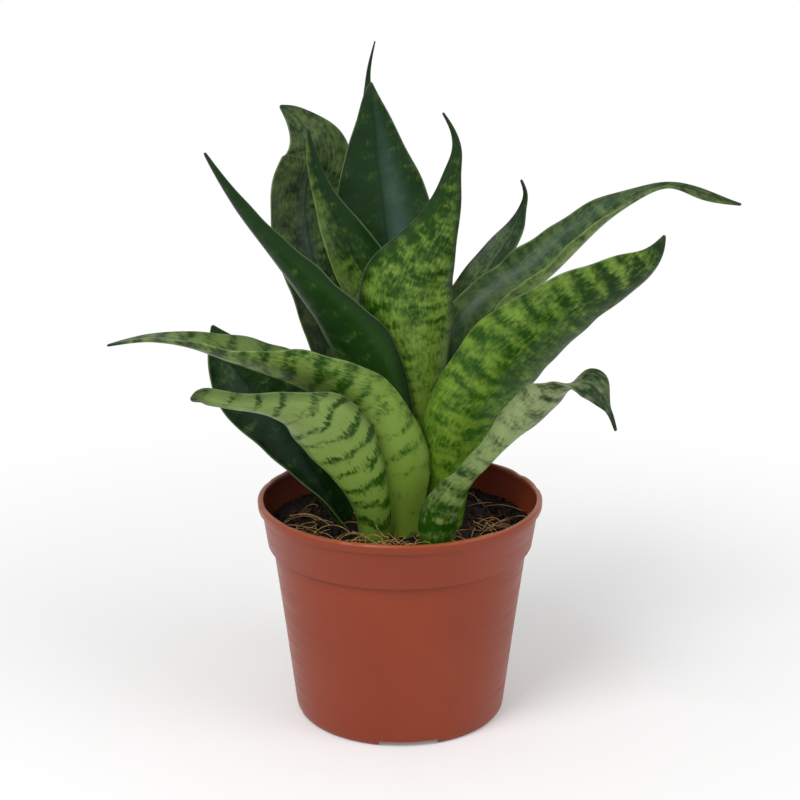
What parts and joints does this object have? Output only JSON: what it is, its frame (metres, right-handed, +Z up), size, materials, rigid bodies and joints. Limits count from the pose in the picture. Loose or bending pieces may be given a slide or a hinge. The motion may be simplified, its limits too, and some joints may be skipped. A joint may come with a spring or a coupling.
{
  "type": "potted snake plant",
  "caption": "Bird's-nest snake plant: a rosette of stiff, channelled, mottled green leaves growing from soil in a round terracotta-coloured plastic nursery pot.",
  "frame": {"origin": "centre of the pot's foot, on the pot's axis, at the level of the foot ring's underside", "axes": "+Z up along the pot's axis, -Y towards the plant's front, +X to its right"},
  "size_m": [0.2515, 0.211, 0.2752],
  "materials": {
    "terracotta_plastic": "satin",
    "soil": "matte",
    "bark": "matte",
    "leaf": "satin"
  },
  "bodies": {
    "root": {"nursery_pot": "terracotta_plastic", "potting_soil": "soil", "bark_chip_1": "bark", "bark_chip_2": "bark", "bark_chip_3": "bark", "bark_chip_4": "bark", "bark_chip_5": "bark", "bark_chip_6": "bark", "leaf_front_arching_left": "leaf", "leaf_low_front_left": "leaf", "leaf_low_left": "leaf", "leaf_upper_left": "leaf", "leaf_front_centre": "leaf", "leaf_back_centre": "leaf", "leaf_back_tall": "leaf", "leaf_back_left": "leaf", "leaf_heart": "leaf", "leaf_back_right": "leaf", "leaf_long_right": "leaf", "leaf_broad_right": "leaf", "leaf_low_right": "leaf", "leaf_low_back_left": "leaf", "leaf_low_back": "leaf", "leaf_low_back_right": "leaf"}
  },
  "joints": []
}
